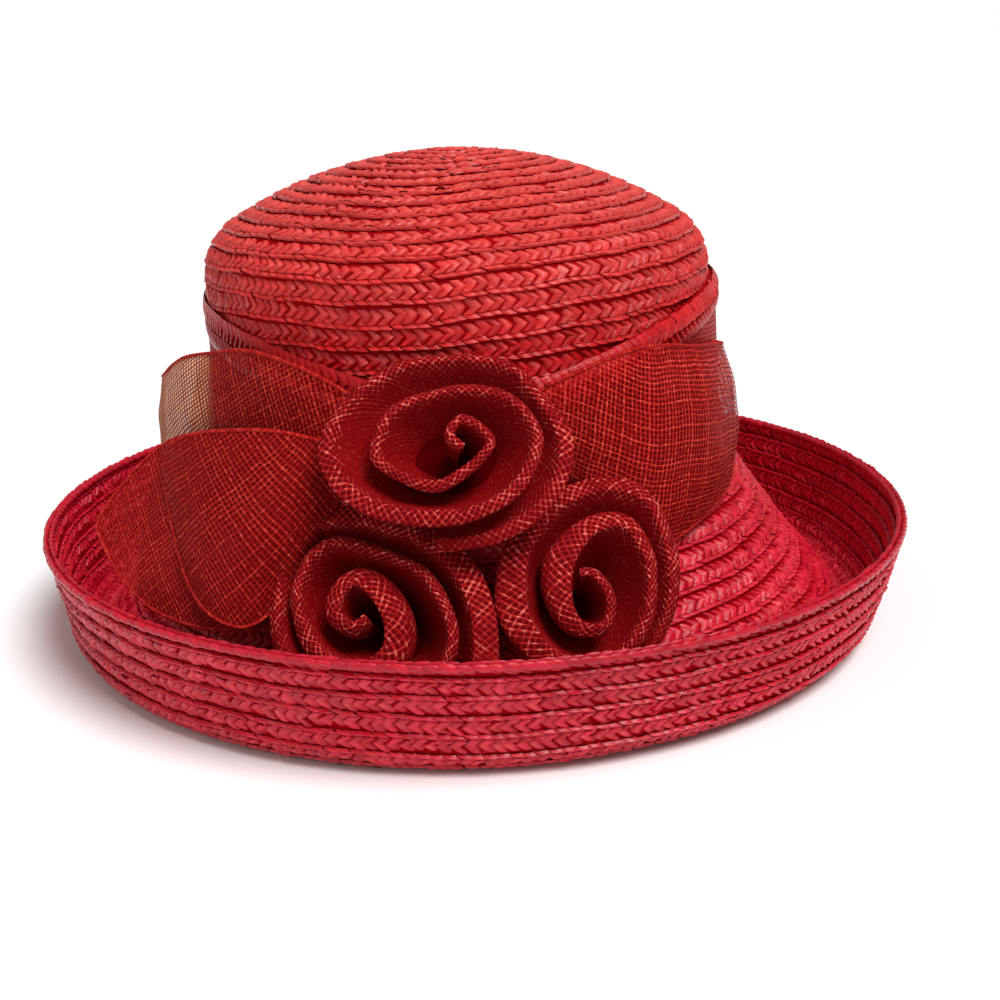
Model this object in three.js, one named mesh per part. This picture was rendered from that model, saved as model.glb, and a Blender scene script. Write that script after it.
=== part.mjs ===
// Church hat of sewn straw braid with a sinamay spray, in millimetres.
// +Z is up, the spray faces -Y and the brim's lowest ring lies on z = 0.
import * as THREE from "three";

// Crown, outer face, as radii along X
const CROWN_TOP = 168.75;      // apex of the tip
const TIP_RADIUS = 155.3;      // the tip is nearly a part of a ball
const SHOULDER_RADIUS = 22.5;  // soft turn from tip to side
const SIDE_RADIUS = 92;        // half width where the side begins
const FOOT_RADIUS = 95.35;     // half width where the side meets the brim
const FOOT_HEIGHT = 64.75;
const TIP_SPLIT = 119;         // the sewn straw is drawn as four pieces: tip, side,
const SPLIT_HEIGHT = 70;       // bell and turned edge
const CROWN_RATIO = 1.06;      // front to back over side to side
const BRIM_RATIO = 1.03;
const CROWN_SHIFT = -4.5;      // the crown sits a little to the left of the bell
const CENTRE = 1.46;           // so that the rim is centred on the origin
const BLEND_LOW = 20;
const BLEND_HIGH = 80;

// Brim, a steep bell that curls up into a turned edge
const CURL_RING = 143.66;      // radius of the ring that rests on the ground
const CURL_RADIUS = 10.7;
const CURL_START = 229.8;      // degrees round the curl's own centre
const CURL_END = 345.25;
const RIM_RADIUS = 160.6;
const RIM_HEIGHT = 39.5;
const FOOT_FLAT = 4.5;         // flat width of the resting ring

const STRAW = 1.9;             // thickness of the overlapped braid
const ROW = 6.7;               // one braid row to the next
const LIP = 0.75;              // how far a row's lower edge stands out
const GAP = 0.35;
const AROUND = 30;

const BAND_THICK = 1.1;        // sinamay band at the foot of the crown
const BAND_LOW = 75;
const BAND_HIGH = 108;
const STRIP_THICK = 1.7;       // two rows of braid laid slanting over the band
const STRIP_WIDTH = 15;
const STRIP_FRONT = 97;        // its top edge at the front, under the roses
const STRIP_LEFT = 24;         // how much higher it is at the left side
const STRIP_RIGHT = 28;
const SHEET = 1.2;             // sinamay leaf with its stiffening
const ROSE_WALL = 2.2;         // doubled roll of sinamay

const colours = {
  straw: [0xc23a44, 0.5],
  brimStraw: [0xb03340, 0.52],
  sinamay: [0x9c1a1c, 0.6],
  rose: [0x7d0a10, 0.62],
};

const rad = THREE.MathUtils.degToRad;
const mix = THREE.MathUtils.lerp;

function arc(cx, cz, radius, from, to, steps) {
  const points = [];
  for (let i = 0; i <= steps; i += 1) {
    const a = rad(mix(from, to, i / steps));
    points.push([cx + radius * Math.cos(a), cz + radius * Math.sin(a)]);
  }
  return points;
}

function straight(from, to, steps) {
  const points = [];
  for (let i = 0; i <= steps; i += 1) {
    points.push([mix(from[0], to[0], i / steps), mix(from[1], to[1], i / steps)]);
  }
  return points;
}

function bend(from, corner, to, steps) {
  const points = [];
  for (let i = 0; i <= steps; i += 1) {
    const t = i / steps;
    points.push([0, 1].map((k) => (
      (1 - t) ** 2 * from[k] + 2 * t * (1 - t) * corner[k] + t * t * to[k]
    )));
  }
  return points;
}

// The whole outer face from the apex to the rim as [radius, height] pairs
function outerFace() {
  const ballHeight = CROWN_TOP - TIP_RADIUS;
  const turn = SIDE_RADIUS - SHOULDER_RADIUS;
  const rise = Math.sqrt((TIP_RADIUS - SHOULDER_RADIUS) ** 2 - turn ** 2);
  const meet = THREE.MathUtils.radToDeg(Math.atan2(rise, turn));
  const sideTop = ballHeight + rise;
  const tip = arc(0, ballHeight, TIP_RADIUS, 90, meet, 40);
  const shoulder = arc(turn, sideTop, SHOULDER_RADIUS, meet, 0, 16);
  const foot = [FOOT_RADIUS, FOOT_HEIGHT];
  const side = straight([SIDE_RADIUS, sideTop], foot, 18);
  const curl = arc(CURL_RING, CURL_RADIUS, CURL_RADIUS, CURL_START, CURL_END, 24);
  const bell = straight(foot, curl[0], 18);
  const fillet = bend(side[14], foot, bell[3], 12);
  const edge = straight(curl[curl.length - 1], [RIM_RADIUS, RIM_HEIGHT], 12);
  return [].concat(
    tip, shoulder.slice(1), side.slice(1, 14), fillet,
    bell.slice(4), curl.slice(1), edge.slice(1),
  );
}

function lengths(line) {
  const along = [0];
  for (let i = 1; i < line.length; i += 1) {
    along.push(along[i - 1] + Math.hypot(line[i][0] - line[i - 1][0], line[i][1] - line[i - 1][1]));
  }
  return along;
}

// Point and outward normal at a length along a line
function sample(line, along, s) {
  let i = 1;
  while (i < line.length - 1 && along[i] < s) {
    i += 1;
  }
  const t = (s - along[i - 1]) / (along[i] - along[i - 1]);
  const a = line[i - 1];
  const b = line[i];
  const length = Math.hypot(b[0] - a[0], b[1] - a[1]);
  return {
    at: [mix(a[0], b[0], t), mix(a[1], b[1], t)],
    out: [-(b[1] - a[1]) / length, (b[0] - a[0]) / length],
  };
}

const FACE = outerFace();
const ALONG = lengths(FACE);
const TOTAL = ALONG[ALONG.length - 1];

function lengthAtHeight(height) {
  const i = FACE.findIndex((point) => point[1] <= height);
  const t = (FACE[i - 1][1] - height) / (FACE[i - 1][1] - FACE[i][1]);
  return mix(ALONG[i - 1], ALONG[i], t);
}

// Half width of crown and bell at a height
function bodyRadius(height) {
  return sample(FACE, ALONG, lengthAtHeight(height)).at[0];
}

function share(height) {
  return THREE.MathUtils.clamp((height - BLEND_LOW) / (BLEND_HIGH - BLEND_LOW), 0, 1);
}

function place(radius, height, angle) {
  const k = share(height);
  return [
    radius * Math.cos(angle) + CROWN_SHIFT * k + CENTRE,
    radius * Math.sin(angle) * mix(BRIM_RATIO, CROWN_RATIO, k),
    height,
  ];
}

function piece(name, look, points, faces) {
  const geometry = new THREE.BufferGeometry();
  geometry.setAttribute("position", new THREE.Float32BufferAttribute(points.flat(), 3));
  geometry.setIndex(faces.flat());
  geometry.computeVertexNormals();
  const [color, roughness] = colours[look];
  const material = new THREE.MeshStandardMaterial({ color, roughness, metalness: 0 });
  const mesh = new THREE.Mesh(geometry, material);
  mesh.name = name;
  return mesh;
}

// Turns a closed [radius, height] outline round the hat, with or without poles
function turned(name, look, outline) {
  const points = [];
  const faces = [];
  const rings = outline.map(([radius, height]) => {
    if (radius < 1e-6) {
      points.push(place(0, height, 0));
      return { pole: points.length - 1 };
    }
    const first = points.length;
    for (let i = 0; i < AROUND; i += 1) {
      points.push(place(radius, height, (2 * Math.PI * (i + 0.5)) / AROUND));
    }
    return { first };
  });
  const closed = !("pole" in rings[0]);
  const last = closed ? rings.length : rings.length - 1;
  for (let j = 0; j < last; j += 1) {
    const a = rings[j];
    const b = rings[(j + 1) % rings.length];
    for (let i = 0; i < AROUND; i += 1) {
      const n = (i + 1) % AROUND;
      if ("pole" in a) {
        faces.push([a.pole, b.first + i, b.first + n]);
      } else if ("pole" in b) {
        faces.push([a.first + i, b.pole, a.first + n]);
      } else {
        faces.push([a.first + i, b.first + i, b.first + n]);
        faces.push([a.first + i, b.first + n, a.first + n]);
      }
    }
  }
  return piece(name, look, points, faces);
}

// A point on the face, moved along the face's own normal
function offFace(s, depth) {
  const { at, out } = sample(FACE, ALONG, s);
  return [at[0] + out[0] * depth, at[1] + out[1] * depth];
}

// Braid rows lapped like shingles, from one length along the face to another
function rows(from, to, level) {
  const count = Math.round(Math.abs(to - from) / ROW);
  const points = [];
  for (let i = 0; i < count; i += 1) {
    const top = mix(from, to, i / count);
    const low = mix(from, to, (i + 1) / count);
    const side = to > from ? -1 : 1;
    points.push(offFace(top, level(top) + (i === 0 ? 0 : side * LIP)));
    points.push(offFace(low, level(low)));
  }
  return points;
}

// The tip is a bowl, closed at its apex
function crownTip() {
  const split = lengthAtHeight(TIP_SPLIT);
  const outer = rows(0, split, () => 0);
  outer[0] = [0, CROWN_TOP];
  const inner = [];
  for (let i = 7; i > 0; i -= 1) {
    inner.push(offFace((split * i) / 7, -STRAW - LIP));
  }
  inner.push([0, CROWN_TOP - STRAW - LIP]);
  return turned("crown_tip", "straw", outer.concat(inner));
}

function crownSide() {
  const from = lengthAtHeight(TIP_SPLIT) + GAP;
  const to = lengthAtHeight(SPLIT_HEIGHT);
  const outer = rows(from, to, () => 0);
  const inner = [to, mix(from, to, 0.5), from].map((s) => offFace(s, -STRAW - LIP));
  return turned("crown_side", "straw", outer.concat(inner));
}

// The fitted face is the top of the bell, and past the curl it is the underside
const RING = ALONG[FACE.reduce((best, p, i) => (p[1] < FACE[best][1] ? i : best), 0)];
const THICK = STRAW + LIP;
const EDGE_SPLIT = RING - 2.9;

function over(s) {
  return THICK * THREE.MathUtils.smoothstep(s, RING - 34, RING - 8);
}

function brimBell() {
  const from = lengthAtHeight(SPLIT_HEIGHT) + GAP;
  const top = rows(from, EDGE_SPLIT, over);
  const under = [];
  for (let i = 0; i <= 6; i += 1) {
    const s = mix(EDGE_SPLIT, from, i / 6);
    under.push(offFace(s, over(s) - THICK));
  }
  return turned("brim_bell", "brimStraw", top.concat(under));
}

function brimEdge() {
  const from = EDGE_SPLIT + GAP;
  const top = rows(from, TOTAL, over);
  const outer = rows(TOTAL, RING + 4.2, (s) => over(s) - THICK);
  const foot = [[CURL_RING + FOOT_FLAT / 2, 0], [CURL_RING - FOOT_FLAT / 2, 0]];
  return turned("brim_edge", "brimStraw", top.concat(outer, foot, [offFace(from, 0)]));
}

function band() {
  const high = bodyRadius(BAND_HIGH) + GAP;
  const low = bodyRadius(BAND_LOW) + GAP;
  return turned("crown_band", "sinamay", [
    [high + BAND_THICK, BAND_HIGH],
    [low + BAND_THICK, BAND_LOW],
    [low, BAND_LOW],
    [high, BAND_HIGH],
  ]);
}

// Height of the strip's top edge, lowest at the front
function stripTop(angle) {
  const toRight = Math.cos(angle);
  const swing = toRight > 0 ? STRIP_RIGHT : STRIP_LEFT;
  const back = Math.sin(angle) > 0 ? 1 : Math.abs(toRight);
  return STRIP_FRONT + mix(STRIP_LEFT, swing, Math.abs(toRight)) * back;
}

// Two lapped rows of braid round the crown
function strip() {
  const points = [];
  const faces = [];
  const base = GAP + BAND_THICK + GAP;
  const across = [
    { down: 0, off: STRIP_THICK },
    { down: 0.5, off: STRIP_THICK },
    { down: 0.5, off: STRIP_THICK - LIP },
    { down: 1, off: STRIP_THICK },
    { down: 1, off: 0 },
    { down: 0, off: 0 },
  ];
  for (let i = 0; i < AROUND; i += 1) {
    const angle = (2 * Math.PI * (i + 0.5)) / AROUND;
    for (const { down, off } of across) {
      const height = stripTop(angle) - down * STRIP_WIDTH;
      points.push(place(bodyRadius(height) + base + off, height, angle));
    }
  }
  const n = across.length;
  for (let i = 0; i < AROUND; i += 1) {
    for (let j = 0; j < n; j += 1) {
      const a = i * n + j;
      const b = i * n + ((j + 1) % n);
      const c = ((i + 1) % AROUND) * n + ((j + 1) % n);
      const d = ((i + 1) % AROUND) * n + j;
      faces.push([a, b, c], [a, c, d]);
    }
  }
  return piece("band_braid", "straw", points, faces);
}

// Smooth run through a table's rows
function through(rowsOf, t) {
  const last = rowsOf.length - 1;
  const at = Math.min(t * last, last - 1e-9);
  const i = Math.floor(at);
  const f = at - i;
  const get = (k) => rowsOf[THREE.MathUtils.clamp(k, 0, last)];
  return get(i).map((_, k) => {
    const p = [get(i - 1)[k], get(i)[k], get(i + 1)[k], get(i + 2)[k]];
    return 0.5 * (2 * p[1] + (p[2] - p[0]) * f
      + (2 * p[0] - 5 * p[1] + 4 * p[2] - p[3]) * f * f
      + (3 * p[1] - p[0] - 3 * p[2] + p[3]) * f * f * f);
  });
}

// One row per section of a leaf, its top and low edge, and its belly outwards
const LEAVES = {
  leaf_right: [
    { top: [30, -104, 106], low: [44, -101, 80], belly: 3 },
    { top: [39, -98, 108.5], low: [57, -97, 62], belly: 4 },
    { top: [52.4, -89.5, 111], low: [66, -91, 48.5], belly: 5 },
    { top: [63, -81, 110], low: [74, -82, 50], belly: 5.5 },
    { top: [73, -70.5, 107.5], low: [83, -69, 52], belly: 5.5 },
    { top: [82, -58, 105.5], low: [90, -56, 54], belly: 5.5 },
    { top: [89, -45, 103.5], low: [94.5, -46, 56], belly: 5.5 },
    { top: [91, -36, 102], low: [97, -36, 60], belly: 4.5 },
    { top: [87, -33, 102], low: [95, -32, 62], belly: 2 },
    { top: [82.2, -43.4, 101], low: [91, -43.8, 63], belly: 0.5 },
  ],
  leaf_left_upper: [
    { top: [-37, -105, 102], low: [-42, -106, 76], belly: 3 },
    { top: [-52.4, -96, 108.6], low: [-56, -99, 70], belly: 3 },
    { top: [-70, -83, 111.8], low: [-75, -86, 66], belly: 3 },
    { top: [-84, -70, 109], low: [-91, -72, 63], belly: 3 },
    { top: [-97, -55, 104.5], low: [-103, -58, 62], belly: 3 },
    { top: [-106, -43, 97], low: [-110, -46, 62], belly: 2 },
    { top: [-107.5, -36, 95], low: [-111, -38, 62], belly: 1 },
    { top: [-103, -31, 97], low: [-107, -33, 63], belly: 1 },
    { top: [-96, -36, 100], low: [-102, -40, 64], belly: 1 },
    { top: [-88.6, -48.7, 102], low: [-96, -50.5, 65], belly: 0.5 },
  ],
  leaf_left_lower: [
    { top: [-44, -108.6, 88], low: [-60, -113, 66], belly: 1.5 },
    { top: [-56, -105, 90], low: [-66, -129, 38], belly: 2.5 },
    { top: [-72, -96, 89], low: [-78, -128, 36.5], belly: 3 },
    { top: [-87, -86, 86.5], low: [-92, -121, 37], belly: 3 },
    { top: [-100.5, -78, 80.8], low: [-104, -111, 39.5], belly: 2.5 },
    { top: [-113, -77, 70], low: [-114, -100, 46], belly: 1.5 },
    { top: [-122.5, -83, 58.5], low: [-123, -86, 55], belly: 0 },
  ],
  leaf_left_front: [
    { top: [-44.1, -110.1, 88.7], low: [-62, -120, 66], belly: 2 },
    { top: [-58, -109.5, 92], low: [-68, -134, 40.5], belly: 3 },
    { top: [-75, -100, 90.5], low: [-78, -131, 41.5], belly: 3.5 },
    { top: [-89, -91, 87], low: [-88, -119, 50], belly: 3 },
    { top: [-98, -85, 82], low: [-96, -100, 68], belly: 1.5 },
  ],
};
const LEAF_ACROSS = 6;

// A stiffened sheet, closed round its edges
function leaf(name) {
  const table = LEAVES[name].map(({ top, low, belly }) => [...top, ...low, belly]);
  const along = (table.length - 1) * 2;
  const grid = [];
  for (let i = 0; i <= along; i += 1) {
    const row = through(table, i / along);
    const top = new THREE.Vector3(row[0] + CENTRE, row[1], row[2]);
    const low = new THREE.Vector3(row[3] + CENTRE, row[4], row[5]);
    const next = through(table, Math.min(1, i / along + 0.02));
    const before = through(table, Math.max(0, i / along - 0.02));
    const run = new THREE.Vector3(
      next[0] + next[3] - before[0] - before[3],
      next[1] + next[4] - before[1] - before[4],
      next[2] + next[5] - before[2] - before[5],
    );
    const out = new THREE.Vector3().subVectors(top, low).cross(run).normalize();
    const middle = new THREE.Vector3().addVectors(top, low);
    if (i === 0 && out.x * middle.x + out.y * middle.y < 0) {
      grid.flip = -1;
    }
    out.multiplyScalar(grid.flip || 1);
    const line = [];
    for (let j = 0; j <= LEAF_ACROSS; j += 1) {
      const t = j / LEAF_ACROSS;
      const point = new THREE.Vector3().lerpVectors(low, top, t);
      point.addScaledVector(out, row[6] * 4 * t * (1 - t));
      line.push(point);
    }
    grid.push(line);
  }
  const normalAt = (i, j) => {
    const a = grid[Math.min(i + 1, along)][j].clone().sub(grid[Math.max(i - 1, 0)][j]);
    const b = grid[i][Math.min(j + 1, LEAF_ACROSS)].clone().sub(grid[i][Math.max(j - 1, 0)]);
    return a.cross(b).normalize();
  };
  const points = [];
  for (const side of [0.5, -0.5]) {
    for (let i = 0; i <= along; i += 1) {
      for (let j = 0; j <= LEAF_ACROSS; j += 1) {
        points.push(grid[i][j].clone().addScaledVector(normalAt(i, j), side * SHEET).toArray());
      }
    }
  }
  const wide = LEAF_ACROSS + 1;
  const half = (along + 1) * wide;
  const faces = [];
  for (let i = 0; i < along; i += 1) {
    for (let j = 0; j < LEAF_ACROSS; j += 1) {
      const a = i * wide + j;
      const b = a + wide;
      faces.push([a, b, b + 1], [a, b + 1, a + 1]);
      faces.push([half + a, half + b + 1, half + b], [half + a, half + a + 1, half + b + 1]);
    }
  }
  const rim = [];
  for (let i = 0; i < along; i += 1) {
    rim.push(i * wide);
  }
  for (let j = 0; j < LEAF_ACROSS; j += 1) {
    rim.push(along * wide + j);
  }
  for (let i = along; i > 0; i -= 1) {
    rim.push(i * wide + LEAF_ACROSS);
  }
  for (let j = LEAF_ACROSS; j > 0; j -= 1) {
    rim.push(j);
  }
  rim.forEach((a, k) => {
    const b = rim[(k + 1) % rim.length];
    faces.push([a, half + a, half + b], [a, half + b, b]);
  });
  return piece(name, "sinamay", points, faces);
}

// One row per bend of a rose's roll, seen square on: across, up, and how far it rises
const ROSES = {
  rose_top: {
    centre: [-6, -124, 92], tilt: 38, turn: 0, depth: 14.6,
    roll: [
      { across: 3.3, up: 5.7, rise: 3 },
      { across: 10.4, up: -2.1, rise: 2.5 },
      { across: -4.3, up: -13.5, rise: 1 },
      { across: -18.9, up: -7.9, rise: 0.5 },
      { across: -22.3, up: -1.2, rise: 0.5 },
      { across: -16.5, up: 10.1, rise: 1 },
      { across: 1.5, up: 15.7, rise: 1.5 },
      { across: 16.4, up: 12.4, rise: 1.5 },
      { across: 24, up: 1.6, rise: 1 },
      { across: 20.8, up: -9.9, rise: 0.5 },
      { across: 13, up: -17.7, rise: 0 },
      { across: -1.8, up: -22.2, rise: -0.5 },
      { across: -23.7, up: -17.9, rise: -1.5 },
      { across: -35, up: -5.2, rise: -2 },
      { across: -34.6, up: 6.1, rise: -2 },
      { across: -26.5, up: 17.4, rise: -1.5 },
      { across: -13.8, up: 25, rise: -1 },
      { across: 1.7, up: 26.8, rise: -1 },
      { across: 16.8, up: 23.8, rise: -1 },
      { across: 28.9, up: 9.8, rise: -2 },
      { across: 34.4, up: 0.3, rise: -3 },
      { across: 30.6, up: -10.2, rise: -5 },
    ],
  },
  rose_lower_left: {
    centre: [-28, -134, 46], tilt: 38, turn: -4, depth: 19.2,
    roll: [
      { across: -7.7, up: -6.8, rise: 1 },
      { across: -14.7, up: -2.8, rise: 2 },
      { across: -11.6, up: 4.5, rise: 3 },
      { across: -6.6, up: 6.6, rise: 3 },
      { across: 0.4, up: 0.8, rise: 2 },
      { across: 4.8, up: -6.8, rise: 1 },
      { across: 2, up: -14.4, rise: 0 },
      { across: -7, up: -17.5, rise: -1 },
      { across: -17.8, up: -14.4, rise: 0 },
      { across: -24.5, up: -3, rise: 0 },
      { across: -25, up: 7, rise: 0.5 },
      { across: -20, up: 15.9, rise: 1 },
      { across: -11, up: 18.1, rise: 1.5 },
      { across: 9.4, up: 10.1, rise: 1.5 },
      { across: 18, up: -2, rise: 1 },
      { across: 20, up: -13, rise: 0 },
      { across: 14, up: -22, rise: -1 },
      { across: 0, up: -26, rise: -2 },
      { across: -18, up: -23.5, rise: -2.5 },
      { across: -29, up: -13, rise: -2.5 },
      { across: -31.5, up: 1, rise: -2 },
      { across: -30, up: 14.5, rise: -2 },
      { across: -21.5, up: 24.6, rise: -1.5 },
      { across: -7.6, up: 25.5, rise: -1 },
      { across: 11, up: 20.3, rise: -0.5 },
      { across: 26, up: 9.6, rise: -1 },
      { across: 32, up: -4.4, rise: -2 },
      { across: 30, up: -17, rise: -3.5 },
    ],
  },
  rose_lower_right: {
    centre: [33.5, -127, 48], tilt: 38, turn: 10, depth: 16,
    roll: [
      { across: -1.4, up: -8.6, rise: 1 },
      { across: -4.6, up: -2.4, rise: 2 },
      { across: 1.2, up: 5.2, rise: 4 },
      { across: 6.4, up: -3.1, rise: 3 },
      { across: 4.5, up: -12.5, rise: 1 },
      { across: -3, up: -17.2, rise: 0 },
      { across: -11.5, up: -12, rise: 0 },
      { across: -13, up: 1, rise: 1 },
      { across: -6, up: 12.5, rise: 2 },
      { across: 5, up: 17.5, rise: 2.5 },
      { across: 15, up: 14.5, rise: 2 },
      { across: 18.6, up: 3, rise: 1 },
      { across: 15.5, up: -11.5, rise: 0 },
      { across: 5.3, up: -22.5, rise: -1 },
      { across: -11, up: -24, rise: -1.5 },
      { across: -22, up: -15.6, rise: -1.5 },
      { across: -25.6, up: -3, rise: -1 },
      { across: -21.5, up: 13, rise: -0.5 },
      { across: -7, up: 26, rise: 0 },
      { across: 10.5, up: 29.5, rise: 0 },
      { across: 22.2, up: 23.8, rise: -0.5 },
      { across: 26.7, up: 6.8, rise: -1.5 },
      { across: 23, up: -9.5, rise: -3 },
    ],
  },
};
// The roll's cut, from its foot over the lip and back: out is square to the roll,
// foot is how far it is drawn in to the centre, down is the share of the depth
const ROLL_CUT = [
  { out: -0.5, foot: 1, down: 1 },
  { out: 0.5, foot: 1, down: 1 },
  { out: 0.6, foot: 0.35, down: 0.45 },
  { out: 0.95, foot: 0, down: 0.12 },
  { out: 0.25, foot: 0, down: 0 },
  { out: -0.75, foot: 0, down: 0.04 },
  { out: -0.5, foot: 0.12, down: 0.2 },
  { out: -0.4, foot: 0.4, down: 0.5 },
];
const FOOT_SHARE = 0.5;

function rose(name) {
  const { centre, tilt, turn, depth, roll } = ROSES[name];
  const table = roll.map(({ across, up, rise }) => [across, up, rise]);
  const spin = new THREE.Matrix4().makeRotationZ(rad(turn));
  spin.multiply(new THREE.Matrix4().makeRotationX(rad(90 - tilt)));
  spin.setPosition(centre[0] + CENTRE, centre[1], centre[2]);
  const steps = (table.length - 1) * 2;
  const points = [];
  for (let i = 0; i <= steps; i += 1) {
    const [across, up, rise] = through(table, i / steps);
    const ahead = through(table, Math.min(1, i / steps + 0.004));
    const behind = through(table, Math.max(0, i / steps - 0.004));
    const dx = ahead[0] - behind[0];
    const dy = ahead[1] - behind[1];
    const length = Math.hypot(dx, dy);
    const side = [-dy / length, dx / length];
    for (const { out, foot, down } of ROLL_CUT) {
      const inwards = 1 - foot * (1 - FOOT_SHARE);
      const x = across * inwards + side[0] * out * ROSE_WALL;
      const y = up * inwards + side[1] * out * ROSE_WALL;
      const z = rise * (1 - foot) - depth * down;
      points.push(new THREE.Vector3(x, y, z).applyMatrix4(spin).toArray());
    }
  }
  const n = ROLL_CUT.length;
  const faces = [];
  for (let i = 0; i < steps; i += 1) {
    for (let j = 0; j < n; j += 1) {
      const a = i * n + j;
      const b = i * n + ((j + 1) % n);
      faces.push([a, b + n, a + n], [a, b, b + n]);
    }
  }
  const last = steps * n;
  for (let j = 1; j < n - 1; j += 1) {
    faces.push([0, j + 1, j]);
    faces.push([last, last + j, last + j + 1]);
  }
  return piece(name, "rose", points, faces);
}

const hat = new THREE.Group();
hat.name = "church_hat";
hat.add(crownTip(), crownSide(), brimBell(), brimEdge(), band(), strip());
Object.keys(LEAVES).forEach((name) => hat.add(leaf(name)));
Object.keys(ROSES).forEach((name) => hat.add(rose(name)));

export default hat;
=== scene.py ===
# %% [markdown]
# # A church hat of sewn straw braid
# The hat is one long plaited straw strip, sewn in a spiral from the middle of the tip to the edge of
# the brim. At the front sits a spray of sinamay, a stiff open weave of abaca threads: four leaves and
# three coiled roses. The straw is made here as real relief, one plait at a time, and the sinamay as
# thin curved sheets whose weave comes from the material.

import math

import bpy
import numpy as np
from mathutils import Matrix, Vector


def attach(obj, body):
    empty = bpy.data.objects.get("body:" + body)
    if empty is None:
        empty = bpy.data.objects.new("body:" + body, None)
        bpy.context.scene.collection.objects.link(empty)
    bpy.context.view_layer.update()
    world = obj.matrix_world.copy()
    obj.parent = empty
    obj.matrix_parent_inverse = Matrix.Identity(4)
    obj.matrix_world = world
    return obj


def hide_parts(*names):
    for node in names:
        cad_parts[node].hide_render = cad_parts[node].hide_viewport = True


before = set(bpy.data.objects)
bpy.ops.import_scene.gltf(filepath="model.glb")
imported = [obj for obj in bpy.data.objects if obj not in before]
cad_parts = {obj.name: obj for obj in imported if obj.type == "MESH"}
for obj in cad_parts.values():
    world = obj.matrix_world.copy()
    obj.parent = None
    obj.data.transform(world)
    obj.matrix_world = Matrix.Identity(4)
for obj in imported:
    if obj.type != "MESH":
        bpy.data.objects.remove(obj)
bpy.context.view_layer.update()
MM = 0.001
chance = np.random.default_rng(11)
print("nodes:", len(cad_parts))

# %% [markdown]
# ## The line that the hat is turned from
# Everything on this hat sits on one profile: a shallow ball for the tip, a soft shoulder, a nearly
# straight side, a steep bell and a curl that turns the edge up. The same sizes as in the CAD source
# give that line here, in millimetres, so each row of braid can be placed by how far it has run from
# the middle of the tip.

# %% Sizes of the turned form
CROWN_TOP, TIP_RADIUS, SHOULDER_RADIUS = 168.75, 155.3, 22.5
SIDE_RADIUS, FOOT_RADIUS, FOOT_HEIGHT = 92.0, 95.35, 64.75
CROWN_RATIO, BRIM_RATIO, CROWN_SHIFT, CENTRE = 1.06, 1.03, -4.5, 1.46
BLEND_LOW, BLEND_HIGH = 20.0, 80.0
CURL_RING, CURL_RADIUS, CURL_START, CURL_END = 143.66, 10.7, 229.8, 345.25
RIM_RADIUS, RIM_HEIGHT = 160.6, 39.5
WAIST, SKEW_LOW, SKEW_HIGH, BRIM_RISE = 2.3, -1.3, 1.8, 1.0
STRAW_THICK, ROW, PLAIT = 2.65, 7.0, 3.9


def arc(cx, cz, radius, start, stop, steps):
    turn = np.radians(np.linspace(start, stop, steps + 1))
    return np.c_[cx + radius * np.cos(turn), cz + radius * np.sin(turn)]


def profile_line():
    ball = CROWN_TOP - TIP_RADIUS
    turn = SIDE_RADIUS - SHOULDER_RADIUS
    rise = math.sqrt((TIP_RADIUS - SHOULDER_RADIUS) ** 2 - turn**2)
    meet = math.degrees(math.atan2(rise, turn))
    tip = arc(0, ball, TIP_RADIUS, 90, meet, 40)
    shoulder = arc(turn, ball + rise, SHOULDER_RADIUS, meet, 0, 16)
    foot = np.array([FOOT_RADIUS, FOOT_HEIGHT])
    side = np.linspace([SIDE_RADIUS, ball + rise], foot, 19)
    curl = arc(CURL_RING, CURL_RADIUS, CURL_RADIUS, CURL_START, CURL_END, 24)
    bell = np.linspace(foot, curl[0], 19)
    t = np.linspace(0, 1, 13)[:, None]
    fillet = (1 - t) ** 2 * side[14] + 2 * t * (1 - t) * foot + t * t * bell[3]
    edge = np.linspace(curl[-1], [RIM_RADIUS, RIM_HEIGHT], 13)
    return np.vstack([tip, shoulder[1:], side[1:14], fillet, bell[4:], curl[1:], edge[1:]])


LINE = profile_line()
RUN = np.r_[0, np.cumsum(np.linalg.norm(np.diff(LINE, axis=0), axis=1))]
TOTAL = RUN[-1]
LOWEST = np.argmin(LINE[:, 1])
RING = RUN[LOWEST]
SLOPE = np.gradient(LINE, RUN, axis=0)
SLOPE /= np.linalg.norm(SLOPE, axis=1)[:, None]
# the straw changes from crown to brim behind the band, 70 mm up
FOOT_RUN = np.interp(-70.0, -LINE[:LOWEST, 1], RUN[:LOWEST])
print("profile length mm:", round(TOTAL, 1), "lowest ring at:", round(RING, 1))


# %% From profile to place
def upper_side(run):
    """Height of the braid's upper face over the line, as past the curl the line is its underside."""
    t = np.clip((run - (RING - 34)) / 26, 0, 1)
    return STRAW_THICK * t * t * (3 - 2 * t)


def off_line(run, lift):
    """Radius and height at a run along the profile and a lift off it."""
    radius, height = (np.interp(run, RUN, LINE[:, i]) for i in (0, 1))
    slope_r, slope_z = (np.interp(run, RUN, SLOPE[:, i]) for i in (0, 1))
    return radius - slope_z * lift, height + slope_r * lift


def on_hat(run, angle, lift):
    """Points in millimetres at a run along the profile, an angle round it and a lift off it."""
    radius, height = off_line(np.clip(run, 0, TOTAL), lift)
    return round_hat(radius, height, angle)


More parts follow.
